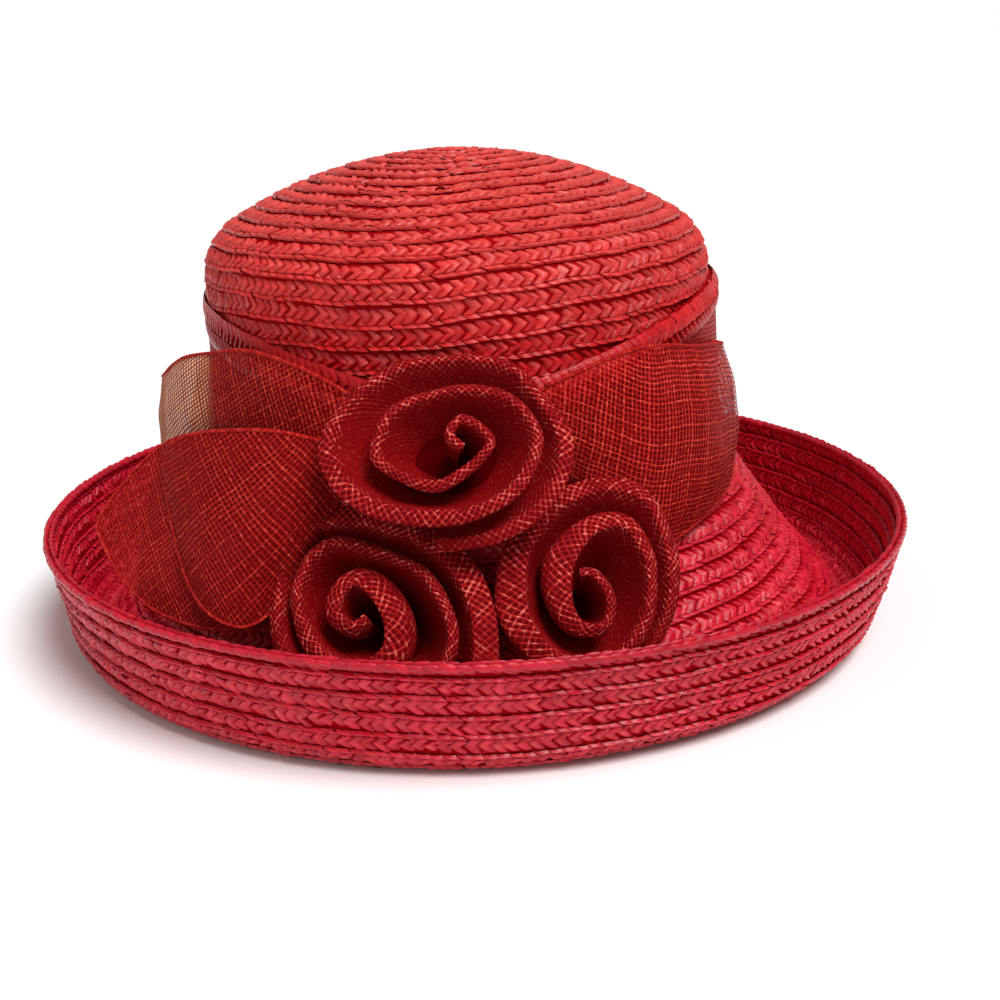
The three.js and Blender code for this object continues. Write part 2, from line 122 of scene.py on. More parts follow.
def round_hat(radius, height, angle):
    """From the turned form to the worn one, with a waist at its left and a brim a little askew."""
    k = np.clip((height - BLEND_LOW) / (BLEND_HIGH - BLEND_LOW), 0, 1)
    ratio = BRIM_RATIO + (CROWN_RATIO - BRIM_RATIO) * k
    x = radius * np.cos(angle) + CROWN_SHIFT * k + CENTRE
    waist = WAIST * np.exp(-(((height - 100) / 16) ** 2)) * np.clip(-np.cos(angle), 0, 1)
    outer = np.clip((radius - 115) / 30, 0, 1) ** 2
    level = np.clip(height / RIM_HEIGHT, 0, 1)
    raised = BRIM_RISE * outer * (1 - level) * np.clip((x - 15) / 35, 0, 1)
    x = x + waist + outer * (SKEW_LOW + (SKEW_HIGH - SKEW_LOW) * level)
    return np.stack([x, radius * np.sin(angle) * ratio, height + raised + 0 * x], axis=-1)


def side_radius(height):
    return np.interp(-np.asarray(height, float), -LINE[:LOWEST, 1], LINE[:LOWEST, 0])


# %% [markdown]
# ## Making a mesh
# Small helpers do the repeated work: arrays of points and faces become an object with its own UV map,
# a small set of faces is copied along a row, rings of points are joined into a closed roll, and each
# finished piece gets its material and rides on the hat's body.


# %% Mesh helpers
def placed(name, data):
    """A new object of mesh, lamp or camera data, in the scene."""
    made = bpy.data.objects.new(name, data)
    bpy.context.scene.collection.objects.link(made)
    return made


def set_uv(mesh, layer, uv):
    """Gives each corner of a mesh the UV place of its point."""
    corner = np.empty(len(mesh.loops), dtype=np.int32)
    mesh.loops.foreach_get("vertex_index", corner)
    layer.data.foreach_set("uv", np.asarray(uv, dtype=np.float32)[corner].ravel())


def from_arrays(name, points, faces, uv, marks=None):
    mesh = bpy.data.meshes.new(name)
    mesh.from_pydata((np.asarray(points) * MM).tolist(), [], [list(f) for f in faces])
    set_uv(mesh, mesh.uv_layers.new(name="Straw"), uv)
    for key, values in (marks or {}).items():
        made = mesh.attributes.new(key, "FLOAT", "POINT")
        made.data.foreach_set("value", np.asarray(values, dtype=np.float32))
    mesh.validate()
    return placed(name, mesh)


def copied(faces, size, count):
    """Faces of one small shape with size points, repeated for count copies."""
    return [tuple(k * size + i for i in face) for k in range(count) for face in faces]


def ring_faces(rings, sides):
    """Faces that join rings of points into a roll, closed at both ends."""
    faces = []
    for i in range(rings - 1):
        for j in range(sides):
            a, b = i * sides + j, i * sides + (j + 1) % sides
            faces.append((a, b, b + sides, a + sides))
    faces.append(tuple(range(sides))[::-1])
    faces.append(tuple((rings - 1) * sides + j for j in range(sides)))
    return faces


def select_only(piece):
    bpy.ops.object.select_all(action="DESELECT")
    piece.select_set(True)
    bpy.context.view_layer.objects.active = piece


def smooth(piece, degrees):
    select_only(piece)
    bpy.ops.object.shade_smooth_by_angle(angle=math.radians(degrees))


def smooth_all(piece):
    polygons = piece.data.polygons
    polygons.foreach_set("use_smooth", [True] * len(polygons))


def finish(piece, material, *replaced):
    piece.data.materials.clear()
    piece.data.materials.append(material)
    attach(piece, "root")
    if replaced:
        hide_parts(*replaced)
    print(piece.name, "triangles:", sum(len(p.vertices) - 2 for p in piece.data.polygons))
    return piece


# %% [markdown]
# ## Making a material
# A node is added with its settings and its inputs, where an input is a value or another node's
# output. Short names for the nodes that come back often keep the materials readable. Colours are
# written as hex codes and turned into the linear values that Blender works with.


# %% Node helpers
def colour(code):
    parts = [int(code[i : i + 2], 16) / 255 for i in (1, 3, 5)]
    return [p / 12.92 if p <= 0.04045 else ((p + 0.055) / 1.055) ** 2.4 for p in parts] + [1.0]


def new_material(name):
    """A material, with its node tree and its shader."""
    material = bpy.data.materials.new(name)
    material.use_nodes = True
    tree = material.node_tree
    return material, tree, tree.nodes["Principled BSDF"]


def add(tree, kind, inputs=None, **settings):
    made = tree.nodes.new(kind)
    for key, value in settings.items():
        setattr(made, key, value)
    for key, value in (inputs or {}).items():
        if isinstance(value, bpy.types.NodeSocket):
            tree.links.new(value, made.inputs[key])
        else:
            made.inputs[key].default_value = value
    return made


def maths(tree, operation, a, b=0.0, c=0.0):
    """One arithmetic node, which gives its result."""
    return add(tree, "ShaderNodeMath", {0: a, 1: b, 2: c}, operation=operation).outputs[0]


def ranged(tree, value, low, high, top=1.0):
    inputs = {"Value": value, "From Min": low, "From Max": high, "To Max": top}
    return add(tree, "ShaderNodeMapRange", inputs).outputs[0]


def marked(tree, name):
    return add(tree, "ShaderNodeAttribute", attribute_name=name).outputs["Fac"]


def object_place(tree):
    return add(tree, "ShaderNodeTexCoord").outputs["Object"]


def noise(tree, where, scale, detail=2.0):
    inputs = {"Vector": where, "Scale": scale, "Detail": detail}
    return add(tree, "ShaderNodeTexNoise", inputs).outputs["Fac"]


def mixed(tree, share, first, second):
    """Two colours mixed, the first one at share 0."""
    inputs = {0: share, 6: first, 7: second}
    return add(tree, "ShaderNodeMix", inputs, data_type="RGBA").outputs[2]


def tones(tree, value, dark, light, low=0.0, high=1.0):
    """A value turned into a colour between two hex codes, with its ramp for more stops."""
    made = add(tree, "ShaderNodeValToRGB", {"Fac": value})
    first, last = made.color_ramp.elements
    first.position, first.color = low, colour(dark)
    last.position, last.color = high, colour(light)
    return made.outputs["Color"], made.color_ramp


def relief(tree, shader, height, strength, distance):
    inputs = {"Height": height, "Strength": strength, "Distance": distance}
    tree.links.new(add(tree, "ShaderNodeBump", inputs).outputs[0], shader.inputs["Normal"])


# %% [markdown]
# ## Dyed straw
# The plait is split straw, dyed and calendered, so it has a satin gloss that runs along each straw.
# Straws take the dye unevenly, so each plait has its own tone. The crests get a painted highlight and
# the places where one straw dives under the next get painted shade. The mesh carries these as marks,
# "tone", the highlight and "deep", and fine streaks along the straw come from a stretched noise.


# %% Straw material
def dyed_straw(name, light, mid, dark, gap_shade, gloss):
    material, tree, shader = new_material(name)
    tone, deep, crest_glint = (marked(tree, key) for key in ("tone", "deep", "crest_glint"))
    uv = add(tree, "ShaderNodeUVMap", uv_map="Straw").outputs["UV"]
    # straw fibres are about 0.15 mm apart, drawn twice as far apart to show
    streaks = add(tree, "ShaderNodeMapping", {"Vector": uv, "Scale": (0.35, 3.0, 1.0)})
    fibre = noise(tree, streaks.outputs[0], 1.0, 3.0)
    place = object_place(tree)
    patch = noise(tree, place, 28.0)
    shade = maths(tree, "MULTIPLY_ADD", fibre, 0.4, maths(tree, "MULTIPLY", tone, 0.46))
    shade = maths(tree, "MULTIPLY_ADD", patch, 0.5, maths(tree, "SUBTRACT", shade, 0.18))
    dyed, ramp = tones(tree, shade, dark, light, 0.1, 0.95)
    ramp.elements.new(0.5).color = colour(mid)
    # painted shade: where the deep mark is high the straw is mixed towards the darker gap colour
    dyed = mixed(tree, deep, dyed, colour(gap_shade))
    # painted light: the top from 112 mm up and the painted highlights on the crests turn a pale coral
    high = add(tree, "ShaderNodeSeparateXYZ", {0: place}).outputs["Z"]
    painted_light = ranged(tree, high, 0.112, 0.168, 0.5)
    painted_light = maths(tree, "MULTIPLY_ADD", crest_glint, 0.42, painted_light)
    painted_light = maths(tree, "MULTIPLY", painted_light, maths(tree, "SUBTRACT", 1.0, deep))
    dyed = mixed(tree, painted_light, dyed, colour("#fc6c60"))
    tree.links.new(dyed, shader.inputs["Base Color"])
    rough = maths(tree, "MULTIPLY_ADD", fibre, 0.24, 0.17)
    tree.links.new(rough, shader.inputs["Roughness"])
    relief(tree, shader, fibre, 0.5, 0.0004)
    shader.inputs["IOR"].default_value = 1.48
    shader.inputs["Specular IOR Level"].default_value = gloss
    return material


def plain_ground(name, light, dark):
    material, tree, shader = new_material(name)
    grain = noise(tree, object_place(tree), 900.0)
    tree.links.new(tones(tree, grain, dark, light)[0], shader.inputs["Base Color"])
    shader.inputs["Roughness"].default_value = 0.8
    shader.inputs["Specular IOR Level"].default_value = 0.0
    return material


crown_straw = dyed_straw("dyed_straw_crown", "#dc1a22", "#b60510", "#9a020a", "#ac040c", 0.26)
brim_straw = dyed_straw("dyed_straw_brim", "#f02c4a", "#ca0f2c", "#a40a20", "#ac081e", 0.36)
# the trough's straw is coloured a little lighter, as painted light for the light bounced into the
# trough
trough_straw = dyed_straw("dyed_straw_trough", "#e82a46", "#d01632", "#aa0c22", "#a80626", 0.16)
ground = plain_ground("dyed_straw_ground", "#a60a14", "#80050c")
print("straw materials:", crown_straw.name, brim_straw.name, trough_straw.name, ground.name)

# %% [markdown]
# ## One plait of the braid
# Seen close, a row of braid shows a big folded straw that makes an arrow head, a little triangle
# below it, and a rope-like selvedge where the straws turn back. That is one plait. It is drawn once,
# as a small table of heights, and copied along the spiral. Each copy has its own points, because the
# rows bend with the hat.

# %% The plait's shape, s along the braid in plaits, t across the row, lift in mm
# deep is how much painted shade a point gets, in the slits and under the next straw
# t, how far the row is shifted along, and how much of its lift it has
ARROW_ROWS = [
    (0.03, -0.02, 0.15),
    (0.18, 0.24, 0.66),
    (0.38, 0.56, 1.00),
    (0.55, 0.26, 0.88),
    (0.70, -0.04, 0.30),
]
# s, lift and how much painted shade
ARROW_COLUMNS = [
    (0.00, -0.30, 0.80),
    (0.18, 0.10, 0.08),
    (0.50, 0.66, 0.0),
    (0.82, 0.40, 0.0),
    (1.02, -0.36, 0.9),
]
# t, shift, lift and deep
ROPE_ROWS = [
    (0.72, 0.00, -0.25, 0.8),
    (0.80, 0.10, 0.38, 0.05),
    (0.91, 0.42, 0.52, 0.0),
    (0.98, 0.62, -0.40, 0.9),
]
# s, lift and deep
ROPE_COLUMNS = [
    (0.0, -0.32, 0.6),
    (0.25, 0.05, 0.0),
    (0.78, 0.05, 0.0),
    (1.0, -0.30, 0.7),
]
# s, t, lift and deep of the little triangle's corners and its middle
NOTCH = [
    (0.00, 0.76, -0.1, 0.5),
    (0.44, 0.54, 0.34, 0.1),
    (0.88, 0.76, -0.1, 0.5),
    (0.44, 0.69, 0.50, 0.0),
]
# the parts of a plait, as its points are marked
ARROW, ROPE, TRIANGLE = 0, 1, 2
# the share of the row that the arrow head takes up
ARROW_SHARE = 0.72


def grid_faces(start, rows, columns):
    faces = []
    for i in range(rows - 1):
        for j in range(columns - 1):
            a = start + i * columns + j
            faces.append((a, a + 1, a + columns + 1, a + columns))
    return faces


def plait_template(coarse):
    """Points as s, t, lift, deep, part and the straw's own s, and the faces between them."""
    points = []
    step = 2 if coarse else 1
    for t, shift, full in ARROW_ROWS[::step]:
        for s, lift, deep in ARROW_COLUMNS[::step]:
            lift = lift * (full if lift > 0 else 1.0)
            deep = deep * (0.5 if t < 0.3 else 1.0)
            points.append((s + shift, t, lift, deep, ARROW, s))
    quads = grid_faces(0, len(ARROW_ROWS[::step]), len(ARROW_COLUMNS[::step]))
    start = len(points)
    rows = [ROPE_ROWS[i] for i in ((0, 2, 3) if coarse else range(4))]
    columns = [ROPE_COLUMNS[i] for i in ((0, 1, 3) if coarse else range(4))]
    for t, shift, row_lift, row_deep in rows:
        for s, lift, deep in columns:
            lift = min(row_lift, row_lift + lift)
            points.append((s + shift, t, lift, max(row_deep, deep), ROPE, s))
    quads += grid_faces(start, len(rows), len(columns))
    if not coarse:
        a = len(points)
        points += [(s, t, lift, deep, TRIANGLE, s) for s, t, lift, deep in NOTCH]
        quads += [(a, a + 1, a + 3), (a + 1, a + 2, a + 3), (a, a + 3, a + 2)]
    return np.array(points, float), quads


print("triangles in a plait:", sum(len(q) - 2 for q in plait_template(False)[1]))

# %% [markdown]
# ## Sewing the spiral
# The braid starts at the middle of the tip and runs clockwise, seen from above, each turn lapping a
# little under the one before. A loop walks down that spiral, one plait at a time, and notes where
# each plait sits. The points of all plaits are then worked out in one go, as rows of an array.

# %% Walk along the spiral and lay the plaits
SPIRAL_START = -math.pi / 2 + 0.4
OVAL_MEAN = 1.035


def spiral(run_start, run_stop):
    """How many turns each plait has run from the middle of the tip, and its share of a turn."""
    stations = []
    turns = run_start / ROW
    while turns * ROW < run_stop:
        run = turns * ROW + ROW * 0.5
        radius = max(4.0, float(np.interp(run, RUN, LINE[:, 0]))) * OVAL_MEAN
        step = PLAIT * (1 + 0.10 * (chance.random() - 0.5)) / (2 * math.pi * radius)
        stations.append((turns, step))
        turns += step
    return np.array(stations)


def hand_sewn(angle, run):
    """How far the sewn rows of the crown stray from an even spiral, in rows."""
    angle = np.mod(angle + math.pi, 2 * math.pi) - math.pi
    bow = np.exp(-(((angle + 1.815) / 0.35) ** 2))
    stray = -0.03 - 0.5 * np.cos(angle) + 0.35 * bow
    return stray * np.clip(run / 40, 0, 1) * np.clip((160 - run) / 25, 0, 1)


def arrow_tip(t, part, width):
    """1 at the tip of the arrow head, falling to 0 across the row."""
    return np.exp(-(((t - 0.36) / width) ** 2)) * (part == ARROW)


def braid(name, run_start, run_stop, under=False, coarse=False):
    template, faces = plait_template(coarse)
    stations = spiral(run_start, run_stop)
    count = len(stations)
    begin, length = stations[:, :1], stations[:, 1:2]
    s, t, lift, deep, part, own_s = template.T
    push = chance.normal(0, 0.05, (count, 1))
    push = push + arrow_tip(t, part, 0.2) * chance.normal(0, 0.09, (count, 1))
    tilt = chance.normal(0, 0.75, (count, 2))
    grow = 1 + chance.normal(0, 0.16, (count, 1))
    way = 1.0 if under else -1.0
    # on the right the upper half of each straw is drawn in, which opens a row of dark teeth
    upper = (part == ARROW) * np.clip((0.3 - t) / 0.27, 0, 1)
    teeth = np.clip(0.2 + np.cos(SPIRAL_START - 2 * math.pi * begin), 0, 1)
    drawn = s + push - upper * own_s * teeth * 0.5
    turns = begin + way * drawn * length
    across = t + chance.normal(0, 0.018, (count, 1))
    across = across + arrow_tip(t, part, 0.16) * chance.normal(0, 0.035, (count, 1))
    sway = 0.035 * np.sin(44 * turns + 3.1 * np.floor(turns)) + 0.03 * np.sin(119.3 * turns)
    angle = SPIRAL_START - 2 * math.pi * turns
    run = (turns + across + sway) * ROW
    run = run + hand_sewn(angle, run) * ROW
    # the last row is squeezed in, so that it ends under the rope at the rim
    spare = np.maximum(run - TOTAL + 4, 0)
    run = np.where(spare > 0, TOTAL - 4 + 3 * (1 - np.exp(-spare / 3)), run)
    lap = -1.15 + 0.85 * np.clip(t, 0, 1)
    lean = tilt[:, :1] * (s - 0.9) * 0.5 + tilt[:, 1:] * (t - 0.38)
    raised = lift * grow + lap + lean * ((part == ARROW) & (lift > 0))
    level = upper_side(run)
    height = level - STRAW_THICK - raised if under else level + raised
    points = on_hat(run, angle, height).reshape(-1, 3)
    own = chance.random((count, 1))
    tone = np.where((part == ARROW) & (t < 0.5), own, np.roll(own, 3, axis=0))
    tone = np.where(part == TRIANGLE, np.roll(own, 7, axis=0), tone).ravel()
    # painted highlight on the raised crests, each plait at its own random strength
    crest = np.clip(lift / 0.6, 0, 1) ** 2 * np.where(part == ARROW, t < 0.5, 0.6)
    crest_glint = (crest * chance.random((count, 1)) ** 2).ravel()
    # painted shade: the deep mark, and on the right the drawn-in upper half of each arrow head as
    # well
    shaded = np.clip(deep + 0.7 * teeth * (upper * (lift < 0.2)), 0, 1).ravel()
    along = np.where(part == ARROW, np.where(t < 0.36, s + t, s - t), s)
    uv = np.stack([along * PLAIT + own * 91.0, t * ROW + own * 37.0], axis=-1).reshape(-1, 2)
    made = copied(faces, len(template), count)
    piece = from_arrays(name, points, made, uv, {"tone": tone, "deep": shaded, "crest_glint": crest_glint})
    smooth(piece, 42)
    return piece


# %% The straw of crown, bell and turned edge, and their undersides
TIP_START, EDGE_STOP = 1.5, TOTAL - 3.5
finish(braid("crown_braid", TIP_START, FOOT_RUN), crown_straw)
finish(braid("bell_braid", FOOT_RUN, RING), brim_straw)
finish(braid("edge_braid", RING, EDGE_STOP), trough_straw)
finish(braid("edge_outside", RING - 6, EDGE_STOP, under=True), brim_straw)
finish(braid("bell_inside", FOOT_RUN, RING - 6, under=True, coarse=True), brim_straw)
finish(braid("crown_inside", TIP_START, FOOT_RUN, under=True, coarse=True), crown_straw)

# %% [markdown]
# ## The body under the plaits
# Between the straws one looks into the lapped part of the next row. A thin closed shell just under
# the relief gives that dark ground and keeps the light out. Its outline is spun round with Blender's
# Spin, its seam is merged, and its points are then drawn from a circle to the head's oval.


# %% Spun shells
SHELL_SINK, SPIN_STEPS, SHELL_CELL = 1.2, 120, 4


def shell(name, run_start, run_stop, *replaced):
    runs = np.linspace(run_start, run_stop, int((run_stop - run_start) / SHELL_CELL) + 1)
    top = np.c_[runs, upper_side(runs) - SHELL_SINK]
    low = np.c_[runs, upper_side(runs) - STRAW_THICK + SHELL_SINK][::-1]
    radius, height = off_line(*np.vstack([top, low]).T)
    points = np.c_[np.maximum(radius, 0.0), 0 * radius, height]
    edges = [(i, i + 1) for i in range(len(points) - 1)]
    if run_start > 0:
        edges.append((len(points) - 1, 0))
    mesh = bpy.data.meshes.new(name)
    mesh.from_pydata((points * MM).tolist(), edges, [])
    piece = placed(name, mesh)
    select_only(piece)
    bpy.ops.object.mode_set(mode="EDIT")
    bpy.ops.mesh.select_all(action="SELECT")
    bpy.ops.mesh.spin(steps=SPIN_STEPS, angle=2 * math.pi, center=(0, 0, 0), axis=(0, 0, 1))
    bpy.ops.mesh.select_all(action="SELECT")
    bpy.ops.mesh.remove_doubles(threshold=0.00002)
    bpy.ops.mesh.normals_make_consistent(inside=False)
    bpy.ops.object.mode_set(mode="OBJECT")
    spun = np.empty(len(mesh.vertices) * 3, dtype=np.float32)
    mesh.vertices.foreach_get("co", spun)
    spun = spun.reshape(-1, 3) / MM
    turn = np.arctan2(spun[:, 1], spun[:, 0])
    oval = round_hat(np.hypot(spun[:, 0], spun[:, 1]), spun[:, 2], turn) * MM
    mesh.vertices.foreach_set("co", oval.astype(np.float32).ravel())
    mesh.update()
    smooth(piece, 60)
    finish(piece, ground, *replaced)


shell("crown_shell", 0.0, FOOT_RUN, "crown_tip", "crown_side")
shell("brim_shell", FOOT_RUN + 0.3, TOTAL - 0.4, "brim_bell", "brim_edge")

# %% [markdown]
# ## The rope at the rim
# The last row is turned over at the rim and shows as a rope of large slanted straws. Each of those is
# a small pillow that is laid round a circle at the rim, the same shape every time but for its size.

# %% Rim rope
PILLOW_RINGS, PILLOW_SIDES = 6, 6


def pillow():
    """Points of one straw, as its share along the rope, its width and its height."""
    points = []
    for i in range(PILLOW_RINGS):
        s = i / (PILLOW_RINGS - 1)
        wide = math.sin(math.pi * (0.06 + 0.88 * s)) ** 0.6
        for j in range(PILLOW_SIDES):
            a = 2 * math.pi * j / PILLOW_SIDES
            points.append((s - 0.5, wide * math.cos(a), wide * math.sin(a)))
    return np.array(points)


def on_rim(run, angle, lift):
    """Past the end of the line the rim runs straight on, so the rope can overhang it a little."""
    beyond = np.maximum(run - TOTAL, 0)
    place = on_hat(run, angle, lift)
    end = SLOPE[-1]
    place[..., 0] += beyond * end[0] * np.cos(angle)
    place[..., 1] += beyond * end[0] * np.sin(angle) * BRIM_RATIO
    place[..., 2] += beyond * end[1]
    return place


def rim_rope(name, run, lift, size, length, slant):
    template = pillow()
    radius = float(np.interp(run, RUN, LINE[:, 0])) * 1.015
    count = int(2 * math.pi * radius / length)
    grow = 1 + chance.normal(0, 0.1, (count, 1))
    angle = 2 * math.pi * (np.arange(count)[:, None] + chance.normal(0, 0.06, (count, 1))) / count
    s, wide, high = template.T
    turn = angle + s * length * 1.55 / radius
    across = run + wide * size * 0.62 * grow + s * slant
    points = on_rim(across, turn, lift + high * size * 0.5 * grow).reshape(-1, 3)
    own = chance.random((count, 1))
    tone = (own * 0.7 - 0.15 + 0 * turn).ravel()
    # painted shade towards both ends of each straw, where it meets the next
    deep = (np.clip(3.2 * np.abs(s) - 0.8, 0, 1) * 0.9 + 0 * turn).ravel()
    uv = np.stack([s * 6.0 + own * 50, wide * 2.0 + 0 * turn], axis=-1).reshape(-1, 2)
    faces = copied(ring_faces(PILLOW_RINGS, PILLOW_SIDES), len(template), count)
    piece = from_arrays(name, points, faces, uv, {"tone": tone, "deep": deep})
    smooth(piece, 60)
    return piece


finish(rim_rope("rim_rope", TOTAL - 0.9, 0.5, 2.2, 4.4, -1.1), brim_straw)
finish(rim_rope("rim_rope_inside", TOTAL - 1.1, 2.4, 2.1, 4.4, 1.1), brim_straw)

# %% [markdown]
# ## Sinamay
# Sinamay is woven from split abaca fibre, knotted end to end, so no two threads are equally thick,
# the lines wander and light comes through the square holes. Here the two thread directions are two
# sets of stripes over the sheet's own UV map, which is in millimetres, and what is between the
# threads is left clear. Each thread draws its own number for its width and tone, and rides over and
# under the threads that it crosses, as a wave along its length. A second layer lies behind each leaf,
# as on the real ones, and it is what fills the holes with a deeper red.


# %% Sinamay material
def threads(tree, coordinate, wander, spacing, thread, seed):
    """The threads of one direction, as masks and values to be drawn with."""
    wander = maths(tree, "MULTIPLY", wander, 1.2)
    step = maths(tree, "MULTIPLY_ADD", coordinate, 1 / spacing, wander)
    cell = maths(tree, "FLOOR", step)
    drawn = {"W": maths(tree, "ADD", cell, seed)}
    tone = add(tree, "ShaderNodeTexWhiteNoise", drawn, noise_dimensions="1D").outputs["Value"]
    off = maths(tree, "ABSOLUTE", maths(tree, "SUBTRACT", maths(tree, "FRACT", step), 0.5))
    half = maths(tree, "MULTIPLY_ADD", tone, 0.28 * thread / spacing, 0.36 * thread / spacing)
    inside = maths(tree, "SUBTRACT", half, off)
    height = maths(tree, "MAXIMUM", maths(tree, "DIVIDE", inside, half), 0.0)
    mask = ranged(tree, inside, -0.03, 0.04)
    return {"step": step, "cell": cell, "tone": tone, "height": height, "mask": mask}


def cross(tree, own, other, phase):
    """Lets one direction ride over and under the other, 1 over a crossing thread and -1 under it."""
    turn = maths(tree, "ADD", maths(tree, "ADD", other["step"], own["cell"]), phase - 0.5)
    own["ride"] = maths(tree, "COSINE", maths(tree, "MULTIPLY", turn, math.pi))
    lifted = maths(tree, "MULTIPLY_ADD", own["ride"], 0.4, 0.6)
    own["high"] = maths(tree, "MULTIPLY", own["height"], lifted)
    own["front"] = maths(tree, "MULTIPLY", own["mask"], maths(tree, "ADD", own["ride"], 2.0))


def past_crown(tree):
    """How far a point of the left leaf is past the crown, where light comes through it."""
    apart = add(tree, "ShaderNodeSeparateXYZ", {0: object_place(tree)})
    return ranged(tree, apart.outputs["X"], -0.0815, -0.0855)


def sinamay(name, spacing, thread, light, mid, dark, fill=0.0, haze="#7a0a10", glow=None):
    material, tree, shader = new_material(name)
    uv = add(tree, "ShaderNodeUVMap", uv_map="Straw").outputs["UV"]
    apart = add(tree, "ShaderNodeSeparateXYZ", {0: uv}).outputs
    warp = threads(tree, apart["X"], noise(tree, uv, 0.07, 3.0), spacing, thread, 3.0)
    weft = threads(tree, apart["Y"], noise(tree, uv, 0.09, 3.0), spacing, thread * 0.85, 57.0)
    cross(tree, warp, weft, 0.0)
    cross(tree, weft, warp, 1.0)
    mask = maths(tree, "MAXIMUM", warp["mask"], weft["mask"])
    height = maths(tree, "MAXIMUM", warp["high"], weft["high"])
    over = maths(tree, "GREATER_THAN", warp["front"], weft["front"])
    tone, crest = (
        add(tree, "ShaderNodeMix", {0: over, 2: weft[key], 3: warp[key]}).outputs[0]
        for key in ("tone", "ride")
    )
    shade = maths(tree, "MULTIPLY_ADD", tone, 0.28, -0.46)
    shade = maths(tree, "MULTIPLY_ADD", noise(tree, uv, 0.55, 4.0), 1.5, shade)
    # painted light and shade: a thread is drawn lighter where it rides over a crossing thread and
    # darker where it dives under
    shade = maths(tree, "MULTIPLY_ADD", crest, 0.22, shade)
    cloth, ramp = tones(tree, shade, dark, light, 0.1)
    ramp.elements.new(0.55).color = colour(mid)
    cloth = mixed(tree, mask, colour(haze), cloth)
    # painted shade: where the deep mark is high, as on the roses' walls, the cloth turns a dark red
    cloth = mixed(tree, marked(tree, "deep"), cloth, colour("#860207"))
    # painted light: past the crown the holes are painted a pale peach and made nearly opaque, as
    # light coming through from behind, and the threads dark red
    if glow:
        past = past_crown(tree)
        lit = mixed(tree, mask, colour(glow), colour("#74140a"))
        cloth = mixed(tree, past, cloth, lit)
        fill = maths(tree, "MULTIPLY_ADD", past, 0.9 - fill, fill)
    tree.links.new(cloth, shader.inputs["Base Color"])
    if fill != 1.0:
        tree.links.new(maths(tree, "MAXIMUM", mask, fill), shader.inputs["Alpha"])
    relief(tree, shader, height, 0.7, 0.0005)
    tree.links.new(maths(tree, "MULTIPLY_ADD", mask, -0.45, 0.88), shader.inputs["Roughness"])
    shader.inputs["IOR"].default_value = 1.47
    shader.inputs["Specular IOR Level"].default_value = 0.08
    return material


leaf_cloth = sinamay("sinamay_leaf", 1.6, 0.55, "#f05c42", "#cc2420", "#9c0c0f", 0.2)
# the lining is the same sinamay as the face in darker colours, as painted shade between the two
# layers
leaf_lining = sinamay("sinamay_lining", 1.6, 0.6, "#b81c1a", "#a0080c", "#800407", 0.65, "#8c0508")
fine_cloth = sinamay("sinamay_fine", 1.5, 0.5, "#d84a30", "#b01a16", "#8c0a0c", 0.25)
glow_cloth = sinamay(
    "sinamay_glow", 1.5, 0.58, "#d84a30", "#b01a16", "#8c0a0c", 0.25, glow="#e2956a"
)
left_cloth = sinamay("sinamay_left", 1.6, 0.5, "#d84a36", "#a81614", "#860a0c", 0.3)
band_cloth = sinamay("sinamay_band", 1.5, 0.7, "#d8402c", "#b41716", "#92080b", 0.8)
hem_cloth = sinamay("sinamay_hem", 1.0, 0.6, "#dc4a34", "#b81c1b", "#900a0e", 1.0, "#980c10")
rose_cloth = sinamay("sinamay_rose", 1.5, 0.5, "#ff8c78", "#c41e20", "#8a080c", 1.0, "#62020a")
# the round under each rose is painted a very dark red, as painted shade deep inside the rose
shade_cloth = plain_ground("sinamay_in_shade", "#540205", "#460104")
print("materials made:", len(bpy.data.materials))

# %% [markdown]
# ## Leaves
# Each leaf is a doubled piece of sinamay, folded over at its long edges into a thin roll and pinned
# by its end under the roses. A table gives each one's top and low edge and how far it bellies out.
# A grid primitive is added for each layer, its points are moved onto that surface, and its UV map
# gets true lengths, so that the weave keeps its size where the leaf narrows.

